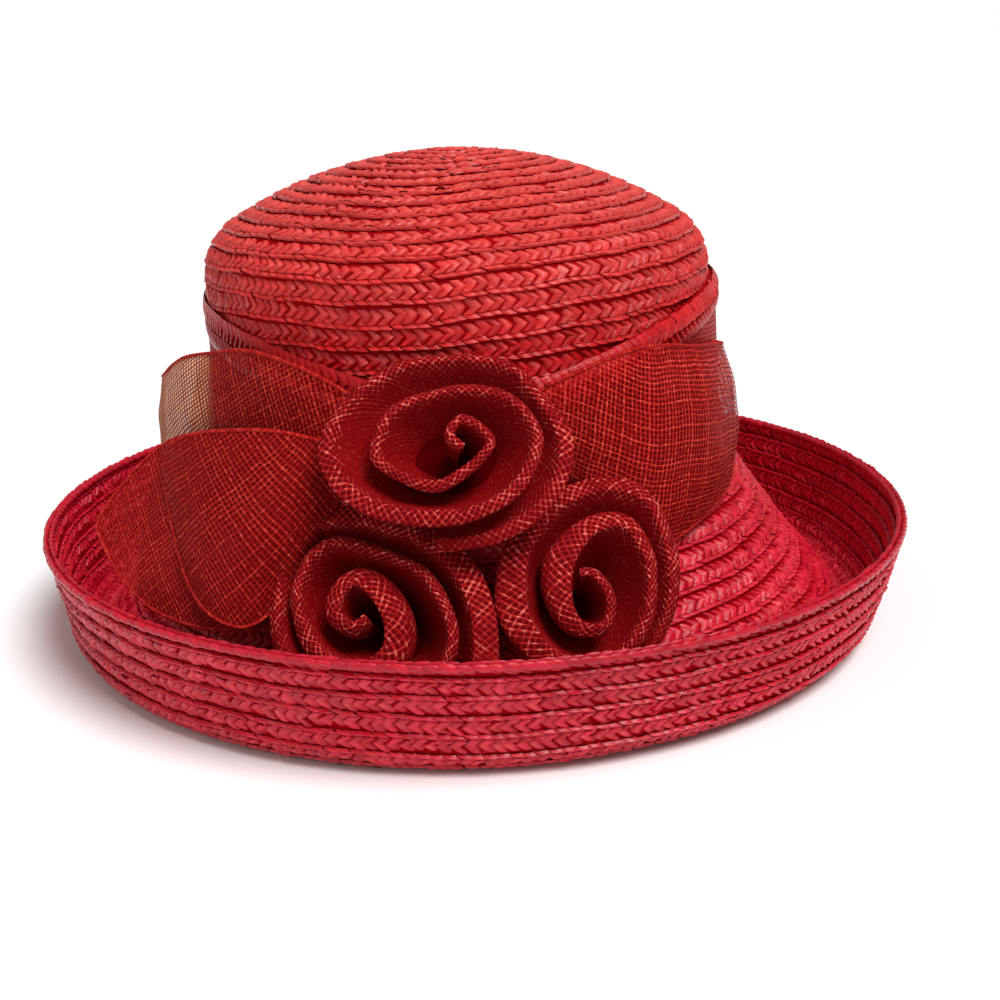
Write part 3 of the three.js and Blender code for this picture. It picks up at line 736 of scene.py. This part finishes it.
# %% Leaf tables in millimetres, a row for each section: top x, y, z, low x, y, z and belly
LEAVES = {
    "leaf_right": [
        (22, -106.5, 103.5, 22, -100, 77, 3),
        (39, -98, 108.5, 38, -100.5, 59, 4),
        (52.4, -89.5, 111, 53.5, -100, 46.5, 5),
        (63, -81, 110, 66, -90, 49, 5.5),
        (73, -70.5, 107.5, 78, -74, 51.5, 5.5),
        (80, -58, 105.5, 87.5, -56, 54, 4),
        (85.5, -46, 103.5, 91, -46, 56, 3.5),
        (87.5, -38, 102, 93, -37, 60, 2.5),
        (84.5, -36, 102, 92, -34, 62, 1),
        (82.2, -43.4, 101, 91, -43.8, 63, 0.5),
    ],
    "leaf_left_upper": [
        (-37, -105, 102, -42, -106, 76, 3),
        (-52.4, -96, 108.6, -56, -99, 70, 3),
        (-70, -83, 111.8, -75, -86, 66, 3),
        (-84, -70, 109, -91, -72, 63, 3),
        (-97, -55, 104.5, -101.5, -58, 62, 3),
        (-106, -43, 97, -107.5, -46, 62, 2),
        (-107.5, -36, 95, -108.5, -38, 62, 1),
        (-103, -31, 97, -107, -33, 63, 1),
        (-96, -36, 100, -102, -40, 64, 1),
        (-88.6, -48.7, 102, -96, -50.5, 65, 0.5),
    ],
    "leaf_left_lower": [
        (-40, -109, 87, -47, -106.5, 53, 1.5),
        (-56, -105, 90, -63, -122, 36, 2.5),
        (-72, -96, 89, -78, -128, 36.5, 3),
        (-87, -86, 86.5, -92, -121, 37, 3),
        (-100.5, -78, 80.8, -104, -111, 39.5, 2.5),
        (-113, -77, 70, -114, -100, 46, 1.5),
        (-122.5, -83, 58.5, -123, -86, 55, 0),
    ],
    "leaf_left_front": [
        (-38, -111, 87, -47, -111.5, 55, 2),
        (-58, -109.5, 92, -65, -131, 40, 3),
        (-75, -100, 90.5, -78, -131, 41.5, 3.5),
        (-89, -91, 87, -88, -119, 50, 3),
        (-98, -85, 82, -96, -100, 68, 1.5),
    ],
}


# %% Smooth run through a table
def through(table, t):
    table = np.asarray(table, float)
    last = len(table) - 1
    at = np.minimum(np.asarray(t, float) * last, last - 1e-9)
    i = at.astype(int)
    f = (at - i)[..., None]
    p = [table[np.clip(i + k, 0, last)] for k in (-1, 0, 1, 2)]
    return 0.5 * (
        2 * p[1]
        + (p[2] - p[0]) * f
        + (2 * p[0] - 5 * p[1] + 4 * p[2] - p[3]) * f * f
        + (3 * p[1] - p[0] - 3 * p[2] + p[3]) * f**3
    )


def leaf_surface(name, u, v, off=0.0):
    """u runs along the leaf, v from its low to its top edge, off is millimetres outwards."""
    table = LEAVES[name]
    row = through(table, u)
    ahead = through(table, np.minimum(1, u + 0.02)) - through(table, np.maximum(0, u - 0.02))
    top, low = row[..., 0:3], row[..., 3:6]
    out = np.cross(top - low, ahead[..., 0:3] + ahead[..., 3:6])
    out /= np.linalg.norm(out, axis=-1)[..., None]
    first, second = through(table, np.array([0.0, 0.02]))
    start = np.cross(first[0:3] - first[3:6], (second - first)[0:3] + (second - first)[3:6])
    if start[0] * (first[0] + first[3]) + start[1] * (first[1] + first[4]) < 0:
        out = -out
    t = v[..., None]
    off = np.broadcast_to(off, v.shape)[..., None]
    point = low + (top - low) * t + out * (row[..., 6:7] * 4 * t * (1 - t) + off)
    point[..., 0] += CENTRE
    return point


# %% A sheet laid on a surface
def true_lengths(surface, u, v, cells=40):
    """How far points lie along and across a surface in mm, and its mean length and its width."""
    lines = np.linspace(0, 1, cells + 1)
    grid = surface(*np.meshgrid(lines, lines, indexing="ij"))
    run_u = np.linalg.norm(np.diff(grid, axis=0), axis=-1).mean(axis=1)
    run_v = np.linalg.norm(np.diff(grid, axis=1), axis=-1)
    along = np.interp(u, lines, np.r_[0, np.cumsum(run_u)])
    height = np.c_[np.zeros(cells + 1), np.cumsum(run_v, axis=1)]
    height -= height[:, cells // 2 : cells // 2 + 1]
    i, j = (np.clip((x * cells).astype(int), 0, cells - 1) for x in (u, v))
    fu, fv = u * cells - i, v * cells - j
    across = (
        height[i, j] * (1 - fu) * (1 - fv)
        + height[i + 1, j] * fu * (1 - fv)
        + height[i, j + 1] * (1 - fu) * fv
        + height[i + 1, j + 1] * fu * fv
    )
    return along, across, run_u.sum(), run_v.sum(axis=1).max()


def sheet_grid(name, across, along, surface, turn=0.0, shift=(0.0, 0.0)):
    """A grid primitive laid onto surface(u, v), with a UV map in millimetres."""
    bpy.ops.object.select_all(action="DESELECT")
    bpy.ops.mesh.primitive_grid_add(x_subdivisions=along, y_subdivisions=across, size=1)
    piece = bpy.context.object
    piece.name = name
    mesh = piece.data
    flat = np.empty(len(mesh.vertices) * 3, dtype=np.float32)
    mesh.vertices.foreach_get("co", flat)
    u, v, _ = np.clip(flat.reshape(-1, 3).astype(float) + 0.5, 0, 1).T
    mesh.vertices.foreach_set("co", (surface(u, v) * MM).astype(np.float32).ravel())
    far, high, length, width = true_lengths(surface, u, v)
    a = math.radians(turn)
    uv = np.c_[
        far * math.cos(a) - high * math.sin(a) + shift[0],
        far * math.sin(a) + high * math.cos(a) + shift[1],
    ]
    mesh.uv_layers[0].name = "Straw"
    set_uv(mesh, mesh.uv_layers[0], uv)
    mesh.update()
    smooth_all(piece)
    size = (float(width) * MM, float(length) * MM)
    area = sum(p.area for p in mesh.polygons)
    print(name, "flat mm:", [round(x / MM, 1) for x in size], "area cm2:", round(area * 1e4, 1))
    return piece, size, area


# %% A rolled edge, as a tube along a line
def tube(name, line, radius, sides=6):
    way = np.gradient(line, axis=0)
    way /= np.linalg.norm(way, axis=1)[:, None]
    side = np.cross(way, [0.0, 0.0, 1.0])
    side /= np.maximum(np.linalg.norm(side, axis=1), 1e-6)[:, None]
    up = np.cross(side, way)
    a = 2 * math.pi * np.arange(sides)[None, :, None] / sides
    rings = line[:, None] + radius * (side[:, None] * np.cos(a) + up[:, None] * np.sin(a))
    run = np.r_[0, np.cumsum(np.linalg.norm(np.diff(line, axis=0), axis=1))][:, None] * 0.7
    turned = np.arange(sides) * 0.5
    uv = np.stack([run + turned, run - turned], axis=-1)
    faces = ring_faces(len(line), sides)
    piece = from_arrays(name, rings.reshape(-1, 3), faces, uv.reshape(-1, 2))
    smooth_all(piece)
    return piece


# %% Dress each leaf
# turn of the weave in degrees, the share of the length that the face and its lining reach, a slanted
# cut of the lining as its height at the root and its rise, and the radius of the hem at the tip
LEAF_CLOTH = {
    "leaf_right": {
        "cloth": leaf_cloth, "turn": 8, "reach": 1.0, "lined": 0.78, "cut": (0.3, 1.8), "tip": 0.7,
    },
    "leaf_left_upper": {
        "cloth": glow_cloth, "turn": 28, "reach": 0.64, "lined": 0.37, "cut": (0.1, 1.1), "tip": 0.7,
    },
    "leaf_left_lower": {
        "cloth": fine_cloth, "turn": 35, "reach": 1.0, "lined": 0.7, "cut": (1.0, 0.0), "tip": 0.7,
    },
    "leaf_left_front": {
        "cloth": left_cloth, "turn": 42, "reach": 1.0, "lined": 1.0, "cut": (1.0, 0.0), "tip": 0.3,
    },
}


def wrinkled(name, off, swell, reach, cut=(1.0, 0.0)):
    """A leaf's surface, up to a share of its length and below a slanted cut."""

    def surface(u, v):
        v = v * np.minimum(1, cut[0] + cut[1] * u)
        u = u * reach
        ripple = np.sin(9.0 * u + 3.0 * v + swell) * 0.35 + np.sin(17 * v - 6 * u + swell) * 0.18
        edge = np.clip(np.minimum(v, 1 - v) * 8, 0, 1)
        return leaf_surface(name, u, v, off + ripple * edge)

    return surface


for number, (node, look) in enumerate(LEAF_CLOTH.items()):
    single = wrinkled(node, 0.35, number, look["reach"])
    face, size, area = sheet_grid(node + "_face", 40, 65, single, look["turn"])
    doubled = wrinkled(node, -0.55, number, look["lined"], look["cut"])
    lining, lining_size, lining_area = sheet_grid(
        node + "_lining", 20, 32, doubled, look["turn"] + 4, (7.3, 3.1)
    )
    t = np.linspace(0, 1, 60)
    off = 0.1 + np.sin(t * 40 + number) * 0.12
    hem_lines = {
        "_top_hem": (t * look["reach"], 0 * t + 1, 0.75),
        "_low_hem": (t * look["reach"], 0 * t, 0.6),
        "_tip_hem": (0 * t + look["reach"], t, look["tip"]),
    }
    hems = [
        finish(tube(node + end, leaf_surface(node, u, v, off), radius), hem_cloth)
        for end, (u, v, radius) in hem_lines.items()
    ]
    finish(face, look["cloth"], node)
    finish(lining, leaf_lining)

# %% [markdown]
# ## The band and the slanted braid
# A strip of sinamay goes round the foot of the crown, and over it lies a doubled braid that dips to
# the front, where the roses hide where it crosses. The braid reuses the arrow half of the plait: two
# rows back to back, ironed smooth at their outer edges, with the slits between the straws inwards. A
# rounded tape lies under them.

# %% Band of sinamay
BAND_LOW, BAND_HIGH, BAND_OUT = 75.0, 108.0, 0.8
STRIP_WIDTH, STRIP_FRONT, STRIP_LEFT, STRIP_RIGHT = 15.0, 97.0, 24.0, 28.0
STRIP_PITCH, STRIP_RADIUS = 3.1, 98.0


def strip_top(angle):
    right = np.cos(angle)
    swing = np.where(right > 0, STRIP_RIGHT, STRIP_LEFT)
    back = np.where(np.sin(angle) > 0, 1.0, np.abs(right))
    return STRIP_FRONT + (STRIP_LEFT + (swing - STRIP_LEFT) * np.abs(right)) * back


def band_surface(u, v):
    angle = -math.pi / 2 + 2 * math.pi * u
    right = np.clip(np.cos(angle), 0, 1)
    top = np.minimum(BAND_HIGH + 8 * right, strip_top(angle) - 6)
    height = BAND_LOW + (top - BAND_LOW) * v
    return round_hat(side_radius(height) + BAND_OUT + 1.4 * right**2, height, angle)


band, band_size, _ = sheet_grid("sinamay_band", 12, 180, band_surface, 6)
finish(band, band_cloth, "crown_band")


# %% Slanted braid over the band
def strip_wide(angle):
    return STRIP_WIDTH - 3 * np.clip(np.cos(angle), 0, 1)


def puffed(angle):
    """The strip stands out more on the right, where the hat faces the light."""
    return 1 + 0.5 * np.cos(angle)


def strip_braid(name, mirrored):
    template, faces = plait_template(False)
    template = template[template[:, 4] == ARROW]
    faces = [face for face in faces if max(face) < len(template)]
    s, t, lift, deep, part, own_s = template.T
    t = t / ARROW_SHARE
    # the outer half of each row is ironed smooth with less painted shade, the inner half keeps its
    # slits, which get painted shade
    ironed = np.clip((t - 0.35) / 0.3, 0, 1)
    slit = (lift < 0) * np.clip(1 - t / 0.55, 0, 1)
    lift = lift * (1 - 0.8 * ironed) + 0.3 * ironed - 0.5 * slit
    deep = np.maximum(deep * (1 - 0.9 * ironed), slit)
    s = s - 0.42 * own_s * np.clip(1 - t / 0.65, 0, 1)
    count = int(2 * math.pi * STRIP_RADIUS / STRIP_PITCH)
    angle = 2 * math.pi * np.arange(count)[:, None] / count
    turn = angle + (s + chance.normal(0, 0.05, (count, 1))) * STRIP_PITCH / STRIP_RADIUS
    grow = 1 + chance.normal(0, 0.15, (count, 1))
    across = t + chance.normal(0, 0.015, (count, 1))
    half = strip_wide(turn) / 2
    down = (1 - across) * half if mirrored else half + across * half
    height = strip_top(turn) - down
    rolled = 0.4 + 1.7 * np.sqrt(np.clip(1 - ((down - half) / half) ** 2, 0, 1))
    rolled = rolled * puffed(turn)
    points = round_hat(side_radius(height) + rolled + lift * grow * 0.85, height, turn)
    if not mirrored:
        faces = [face[::-1] for face in faces]
    own = chance.random((count, 1))
    tone = (0.25 + 0.6 * own + 0 * turn).ravel()
    uv = np.stack([s * STRIP_PITCH + own * 80, t * STRIP_WIDTH / 2 + own * 30], axis=-1)
    # its left side lies in the hat's own shade and gets painted shade as well
    deep = np.maximum(deep, 0.75 * np.clip(0.25 - np.cos(turn), 0, 1)).ravel()
    made = copied(faces, len(template), count)
    marks = {"tone": tone, "deep": deep}
    piece = from_arrays(name, points.reshape(-1, 3), made, uv.reshape(-1, 2), marks)
    smooth(piece, 45)
    return piece


def tape_surface(u, v):
    angle = 2 * math.pi * u
    height = strip_top(angle) - (0.97 - 0.94 * v) * strip_wide(angle)
    rolled = 1.5 * np.sqrt(np.clip(1 - (2 * v - 1) ** 2, 0, 1))
    return round_hat(side_radius(height) + rolled * puffed(angle), height, angle)


finish(strip_braid("strip_upper_row", True), crown_straw, "band_braid")
finish(strip_braid("strip_lower_row", False), crown_straw)
finish(sheet_grid("strip_ground", 10, 180, tape_surface)[0], ground)

# %% [markdown]
# ## Roses
# A rose is one long bias strip of sinamay, doubled, rolled round itself and stood on its raw edge.
# What one sees is the folded edge: a rounded lip of crossed threads, and between the lips deep walls
# that get no light and are painted dark besides, as painted shade. The rolls follow tables of bends,
# and one cut, from foot over the lip and back to the foot, is swept along each of them.

# %% Rose tables, each roll a row for each bend: millimetres across, up and how far the lip rises
ROSES = {
    "rose_top": {
        "centre": [-6, -124, 92], "tilt": 38, "turn": 0, "depth": 14.6,
        "roll": [
            (2.6, -2.4, 1.5), (-1, 1.4, 2.5), (3.3, 5.7, 3), (10.4, -2.1, 2.5),
            (-4.3, -13.5, 1), (-18.9, -7.9, 0.5), (-22.3, -1.2, 0.5), (-16.5, 10.1, 1),
            (1.5, 15.7, 1.5), (16.4, 12.4, 1.5), (24, 1.6, 1), (20.8, -9.9, 0.5),
            (13, -17.7, 0), (-1.8, -22.2, -0.5), (-23.7, -17.9, -1.5), (-35, -5.2, -2),
            (-34.6, 6.1, -2), (-26.5, 17.4, -1.5), (-13.8, 25, -1), (1.7, 26.8, -1),
            (16.8, 23.8, -1), (27.5, 9.8, -2), (31.5, 0.3, -3), (29.5, -10.5, -5),
            (21, -20.5, -7.5), (8, -26, -9.5), (-6, -26.5, -11.5),
        ],
    },
    "rose_lower_left": {
        "centre": [-28, -134, 46], "tilt": 38, "turn": -4, "depth": 19.2,
        "roll": [
            (-4.8, -4.2, 0.5), (-8.6, -6.9, 1), (-13.2, -3.2, 2), (-11.6, 2.8, 3), (-6.9, 5, 3),
            (-1.6, 0.2, 2), (1.8, -7.2, 1), (0.5, -14.6, 0), (-7, -18, -1), (-17.8, -14.4, 0),
            (-24.5, -3, 0), (-25, 7, 0.5), (-20, 15.9, 1), (-11, 18.1, 1.5), (9.4, 10.1, 1.5),
            (18, -2, 1), (20, -13, 0), (14, -22, -1), (0, -26, -2), (-18, -23.5, -2.5),
            (-29, -13, -2.5), (-31.5, 1, -2), (-30, 14.5, -2), (-21.5, 24.6, -1.5),
            (-7.6, 25.5, -1), (10, 19.8, -0.5), (21.5, 8.8, -1), (26.6, -4.4, -2),
            (27.2, -18, -3.5),
        ],
    },
    "rose_lower_right": {
        "centre": [33.5, -127, 48], "tilt": 38, "turn": 10, "depth": 16,
        "roll": [
            (-3, 2.5, 2), (1.5, 1.5, 2.5), (4.8, -6, 2), (2, -13.5, 1), (-5, -12.5, 1),
            (-7.5, -4, 1.5), (-4.5, 7, 2), (4, 15.5, 2.5), (13.5, 16, 2), (18.6, 4, 1),
            (15.5, -11.5, 0), (5.3, -22.5, -1), (-8.5, -23.5, -1.5), (-17.5, -15, -1.5),
            (-20.4, -3, -1), (-16.8, 12.5, -0.5), (-5, 25, 0), (10.5, 29.5, 0),
            (22.2, 23.8, -0.5), (26.5, 6.8, -1.5), (23.5, -9.5, -3), (16, -21, -6),
        ],
    },
}
# how far out in walls, how much at the foot, how far down and how much of the bulge it takes
ROLL_CUT = [
    (-0.5, 1.0, 1.0, 0.0),
    (0.5, 1.0, 1.0, 0.0),
    (0.6, 0.35, 0.48, 1.0),
    (0.8, 0.0, 0.16, 0.75),
    (0.65, 0.0, 0.04, 0.3),
    (0.25, 0.0, 0.0, 0.08),
    (-0.3, 0.0, 0.0, 0.0),
    (-0.7, 0.0, 0.04, 0.0),
    (-0.65, 0.12, 0.2, 0.0),
    (-0.4, 0.4, 0.5, 0.0),
    (-0.5, 1.0, 1.0, 0.0),
]
# how far the outside of the roll bulges, as a share of its length and millimetres
SWELL = {
    "rose_top": [
        (0, 0.5), (0.24, 1), (0.42, 1), (0.48, 2.5), (0.56, 4), (0.63, 2), (0.76, 1), (0.83, 3.5),
        (1, 2),
    ],
    "rose_lower_left": [
        (0, 1), (0.1, 4), (0.16, 6.5), (0.25, 6.5), (0.36, 1.5), (0.66, 1.5), (0.76, 2.5),
        (0.86, 7), (1, 7.5),
    ],
    "rose_lower_right": [
        (0, 1), (0.15, 1.5), (0.22, 5), (0.28, 8), (0.36, 4.5), (0.45, 2), (0.56, 2.5),
        (0.66, 9.5), (0.8, 4.5), (1, 1),
    ],
}
# the share of the length after which the outer end, where it runs down under the rose, gets painted
# shade
END_SHADE_START = {"rose_top": 0.84, "rose_lower_left": 0.96, "rose_lower_right": 0.93}
# how much painted shade the outside of the roll gets at 0, 0.5, 0.7 and 1 of its length
SHADE_OUT = {
    "rose_top": (0.8, 0.8, 0.7, 0.4),
    "rose_lower_left": (0.45, 0.5, 0.15, 0.1),
    "rose_lower_right": (0.5, 0.5, 0.2, 0.15),
}
# the wall in mm, the foot's size over the lip's, and the bias cut's slant of the weave
ROSE_WALL, FOOT_SHARE, BIAS = 1.55, 0.5, 0.707


# %% Roll each rose
def in_place(facts, local):
    """Points seen square on, moved to where the rose sits on the hat."""
    turn = Matrix.Rotation(math.radians(facts["turn"]), 4, "Z")
    tip = Matrix.Rotation(math.radians(90 - facts["tilt"]), 4, "X")
    x, y, z = facts["centre"]
    world = np.array(Matrix.Translation(Vector((x + CENTRE, y, z))) @ turn @ tip)
    return local @ world[:3, :3].T + world[:3, 3]


def rose_roll(name):
    """Rings of points along the roll, the cut they follow and the length run so far."""
    facts = ROSES[name]
    table = facts["roll"]
    t = np.linspace(0, 1, (len(table) - 1) * 10 + 1)
    row = through(table, t)
    way = through(table, np.minimum(1, t + 0.002)) - through(table, np.maximum(0, t - 0.002))
    way = way[:, :2] / np.linalg.norm(way[:, :2], axis=1)[:, None]
    side = np.c_[-way[:, 1], way[:, 0]]
    cut = through(ROLL_CUT, np.linspace(0, 1, 41))[:-1]
    out, foot, down, swollen = cut.T
    run = np.r_[0, np.cumsum(np.linalg.norm(np.diff(row[:, :2], axis=0), axis=1))]
    ripple = 0.4 * np.sin(run / 3.1) * np.sin(run / 11.0) + 0.25 * np.sin(run / 1.9 + 1.0)
    swell = np.interp(t, *zip(*SWELL[name]))
    inwards = 1 - foot * (1 - FOOT_SHARE)
    wide = ROSE_WALL * (1 + 0.10 * np.sin(run / 5.3))[:, None] * out
    wide = wide + swell[:, None] * swollen
    x = row[:, None, 0] * inwards + side[:, None, 0] * wide
    y = row[:, None, 1] * inwards + side[:, None, 1] * wide
    z = (row[:, None, 2] + ripple[:, None] * 0.6) * (1 - foot) - facts["depth"] * down
    return in_place(facts, np.stack([x, y, z], axis=-1)), cut, run


def rose(name):
    points, cut, run = rose_roll(name)
    lengths = np.linalg.norm(np.diff(points, axis=1), axis=-1).mean(axis=0)
    u, v = run[:, None], np.r_[0, np.cumsum(lengths)]
    uv = np.stack([(u + v) * BIAS, (u - v) * BIAS], axis=-1)
    # painted shade: the walls darken the further down they go, the bulging outside by its share and
    # the outer end towards its tip
    walls = np.clip(cut[:, 2] * 5.0 - 0.12, 0, 0.85)
    outside = np.interp(run / run[-1], [0, 0.5, 0.7, 1], SHADE_OUT[name])[:, None]
    end_shade = np.interp(run / run[-1], [0, END_SHADE_START[name], 1], [0, 0, 0.7])[:, None]
    deep = np.maximum(np.where(cut[:, 3] > 0.05, outside, 1.0) * walls, end_shade)
    faces = ring_faces(*points.shape[:2])
    marks = {"deep": deep.ravel()}
    piece = from_arrays(name + "_roll", points.reshape(-1, 3), faces, uv.reshape(-1, 2), marks)
    smooth_all(piece)
    return piece, run[-1], v[-1]


for node in ROSES:
    roll, long, wide = rose(node)
    area = sum(p.area for p in roll.data.polygons) / 2
    finish(roll, rose_cloth, node)
    print(node, "roll mm:", round(long), "cut mm:", round(wide), "area cm2:", round(area * 1e4))


# %% The round of sinamay that each roll is sewn to
def rose_base(name):
    facts = ROSES[name]
    outline = through(np.array(facts["roll"])[:, :2], np.linspace(0.62, 1, 61))
    angle = np.arctan2(outline[:, 1], outline[:, 0])
    order = np.argsort(angle)
    around = np.linspace(-math.pi, math.pi, 49)
    far = np.hypot(*outline[order].T)
    reach = np.interp(around, angle[order], far, period=2 * math.pi)

    def surface(u, v):
        a = -math.pi + 2 * math.pi * u
        r = np.interp(a, around, reach) * (0.02 + 0.6 * v)
        down = -facts["depth"] * (0.97 - 0.12 * v)
        return in_place(facts, np.stack([r * np.cos(a), r * np.sin(a), down], axis=-1))

    return surface


for node in ROSES:
    base, base_size, base_area = sheet_grid(node + "_base", 8, 48, rose_base(node))
    finish(base, shade_cloth)

# %% [markdown]
# ## Camera, floor and light
# The camera stands where the photograph's stood: half a metre off, a little above the crown, with the
# lens that gives the same frame. The floor is pale paper under a white backdrop. A wide soft light
# from above on the right keeps the straw's gloss broad, and a weak one from the left lifts the shade.

# %% Camera
CAMERA_PLACE, CAMERA_PAN, CAMERA_DIP, CAMERA_ROLL = (0.00146, -0.5, 0.191), -0.019, 0.303, -0.021
eye = bpy.data.cameras.new("photo_camera")
eye.lens = 48.14
eye.sensor_width = 36
camera = placed("photo_camera", eye)
pan = Matrix.Rotation(CAMERA_PAN, 4, "Z")
dip = Matrix.Rotation(math.pi / 2 - CAMERA_DIP, 4, "X")
roll_view = Matrix.Rotation(CAMERA_ROLL, 4, "Z")
camera.matrix_world = Matrix.Translation(CAMERA_PLACE) @ (pan @ dip @ roll_view)
bpy.context.scene.camera = camera
print("camera at:", [round(x, 3) for x in camera.matrix_world.translation])

# %% Floor
bpy.ops.object.select_all(action="DESELECT")
bpy.ops.mesh.primitive_grid_add(x_subdivisions=8, y_subdivisions=8, size=40, location=(0, 0, 0))
floor = bpy.context.object
floor.name = "floor"
paper, paper_tree, paper_shader = new_material("matt_paper")
paper_grain = noise(paper_tree, object_place(paper_tree), 400.0)
paper_tone = tones(paper_tree, paper_grain, "#f0f0f0", "#f4f4f4")[0]
paper_tree.links.new(paper_tone, paper_shader.inputs["Base Color"])
paper_shader.inputs["Roughness"].default_value = 0.9
floor.data.materials.append(paper)


# %% Light
def soft_sun(name, place, strength, spread):
    lamp = bpy.data.lights.new(name, "SUN")
    lamp.energy = strength
    lamp.angle = math.radians(spread)
    holder = placed(name, lamp)
    holder.location = place
    holder.rotation_euler = Vector(place).to_track_quat("Z", "Y").to_euler()


soft_sun("key_above_right", (0.5, -0.5, 1.35), 3.3, 32)
soft_sun("fill_left", (-0.9, -0.8, 0.6), 0.48, 60)
world = bpy.data.worlds.new("studio")
bpy.context.scene.world = world
world.use_nodes = True
studio = world.node_tree
backdrop = studio.nodes["Background"]
backdrop.inputs["Color"].default_value = colour("#ffffff")
# the backdrop is white to the camera and dimmer as a light
seen = add(studio, "ShaderNodeLightPath").outputs["Is Camera Ray"]
studio.links.new(maths(studio, "MULTIPLY_ADD", seen, 0.75, 0.25), backdrop.inputs["Strength"])
bpy.context.scene.view_settings.view_transform = "Standard"
